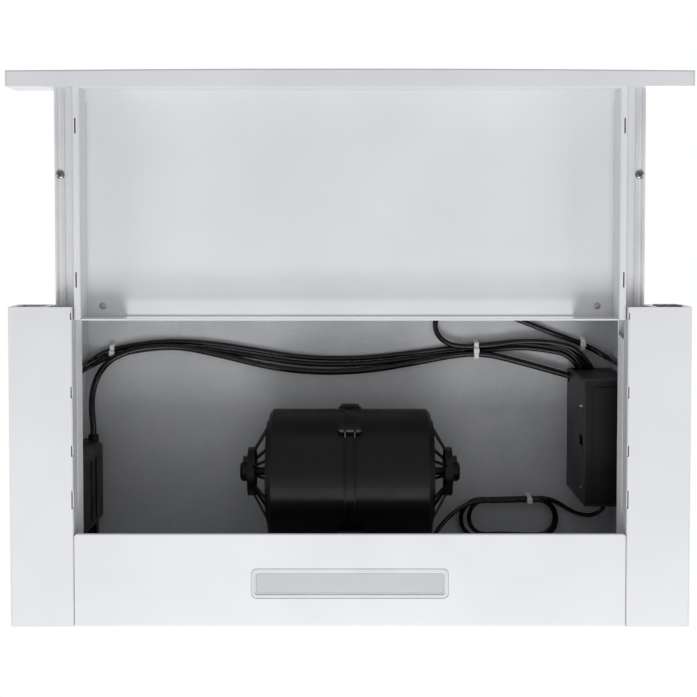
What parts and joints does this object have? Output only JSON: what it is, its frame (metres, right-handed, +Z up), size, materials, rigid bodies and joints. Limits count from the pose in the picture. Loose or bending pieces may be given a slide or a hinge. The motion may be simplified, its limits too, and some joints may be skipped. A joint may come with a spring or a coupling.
{
  "type": "telescopic range hood",
  "caption": "Built-in cooker hood with a pull-out drawer, twin-inlet fan, round outlet with flaps and a lamp panel.",
  "frame": {"origin": "middle of the four cabinet nuts, in the plane that bears on the cabinet", "axes": "+Z up towards the duct, -Y towards the room, +X to the right when facing the wall from the room"},
  "size_m": [0.598, 0.4893, 0.223],
  "materials": {
    "white_paint": "powder coat, satin",
    "galvanised_sheet": "galvanised, satin",
    "zinc_slide": "zinc plated",
    "bright_steel": "polished",
    "plated_fastener": "zinc plated",
    "black_plastic": "moulded, satin",
    "motor_steel": "rolled sheet",
    "bearing_bronze": "sintered",
    "grey_plastic": "moulded, matt",
    "charcoal_plastic": "moulded, satin",
    "circuit_board": "laminate",
    "capacitor_can": "drawn",
    "lamp_diffuser": "frosted",
    "black_cable": "flexible sheath",
    "white_clip": "moulded"
  },
  "bodies": {
    "chassis": {"column_cover_left": "white_paint", "column_cover_right": "white_paint", "lamp_panel": "white_paint", "inner_frame": "white_paint", "upper_housing": "galvanised_sheet", "slide_outer_left": "zinc_slide", "slide_outer_right": "zinc_slide", "sheet_screws": "plated_fastener", "seam_screws": "plated_fastener", "flange_nuts": "plated_fastener", "blower_shell_left": "black_plastic", "blower_shell_right": "black_plastic", "motor_ring": "black_plastic", "inlet_spider_left": "black_plastic", "inlet_spider_right": "black_plastic", "terminal_box": "black_plastic", "cable_gland": "black_plastic", "duct_collar": "black_plastic", "speed_switch": "black_plastic", "light_switch": "black_plastic", "motor_stator": "motor_steel", "bearing_left": "bearing_bronze", "bearing_right": "bearing_bronze", "lamp_frame": "grey_plastic", "control_box": "charcoal_plastic", "control_box_cover": "charcoal_plastic", "control_board": "circuit_board", "led_board": "circuit_board", "motor_capacitor": "capacitor_can", "lamp_lens": "lamp_diffuser", "supply_cable": "black_cable", "light_cable_rear": "black_cable", "light_cable_front": "black_cable", "speed_switch_cable": "black_cable", "lamp_cable": "black_cable", "cable_clips": "white_clip"},
    "drawer": {"drawer_pan": "white_paint", "fascia_shell": "white_paint", "fascia_back_plate": "white_paint", "fascia_end_caps": "grey_plastic", "slide_inner_left": "zinc_slide", "slide_inner_right": "zinc_slide", "drawer_screws": "plated_fastener", "drawer_rivets": "plated_fastener"},
    "ball_cages": {"ball_cage_left": "zinc_slide", "ball_cage_right": "zinc_slide", "slide_balls": "bright_steel"},
    "rotor": {"motor_shaft": "bright_steel", "motor_rotor": "motor_steel", "impeller_left": "black_plastic", "impeller_right": "black_plastic"},
    "front_flap": {"flap_front": "black_plastic"},
    "rear_flap": {"flap_rear": "black_plastic"},
    "button_1": {"speed_button_1": "black_plastic"},
    "button_2": {"speed_button_2": "black_plastic"},
    "button_3": {"speed_button_3": "black_plastic"},
    "rocker": {"light_rocker": "black_plastic"}
  },
  "joints": [
    {"name": "drawer_slide", "type": "slide", "parent": "chassis", "child": "drawer", "axis": [0, -1, 0], "range_m": [-0.19, 0]},
    {"name": "cage_slide", "type": "slide", "parent": "chassis", "child": "ball_cages", "axis": [0, -1, 0], "range_m": [-0.095, 0]},
    {"name": "fan_spin", "type": "hinge", "parent": "chassis", "child": "rotor", "pos_m": [0, 0.023, 0.065], "axis": [1, 0, 0], "continuous": true},
    {"name": "front_flap_hinge", "type": "hinge", "parent": "chassis", "child": "front_flap", "pos_m": [0, 0.0334, 0.146], "axis": [-1, 0, 0], "range_deg": [0, 75]},
    {"name": "rear_flap_hinge", "type": "hinge", "parent": "chassis", "child": "rear_flap", "pos_m": [0, 0.0386, 0.146], "axis": [1, 0, 0], "range_deg": [0, 75]},
    {"name": "light_rocker_tilt", "type": "hinge", "parent": "chassis", "child": "rocker", "pos_m": [-0.2815, -0.1365, -0.019], "axis": [1, 0, 0], "range_deg": [-6, 6]},
    {"name": "speed_button_1_press", "type": "slide", "parent": "chassis", "child": "button_1", "axis": [0, 1, 0], "range_m": [0, 0.0025], "stiffness_N_per_m": 300},
    {"name": "speed_button_2_press", "type": "slide", "parent": "chassis", "child": "button_2", "axis": [0, 1, 0], "range_m": [0, 0.0025], "stiffness_N_per_m": 300},
    {"name": "speed_button_3_press", "type": "slide", "parent": "chassis", "child": "button_3", "axis": [0, 1, 0], "range_m": [0, 0.0025], "stiffness_N_per_m": 300}
  ],
  "couplings": [
    {"joint": "cage_slide", "follows": "drawer_slide", "ratio": 0.5}
  ]
}
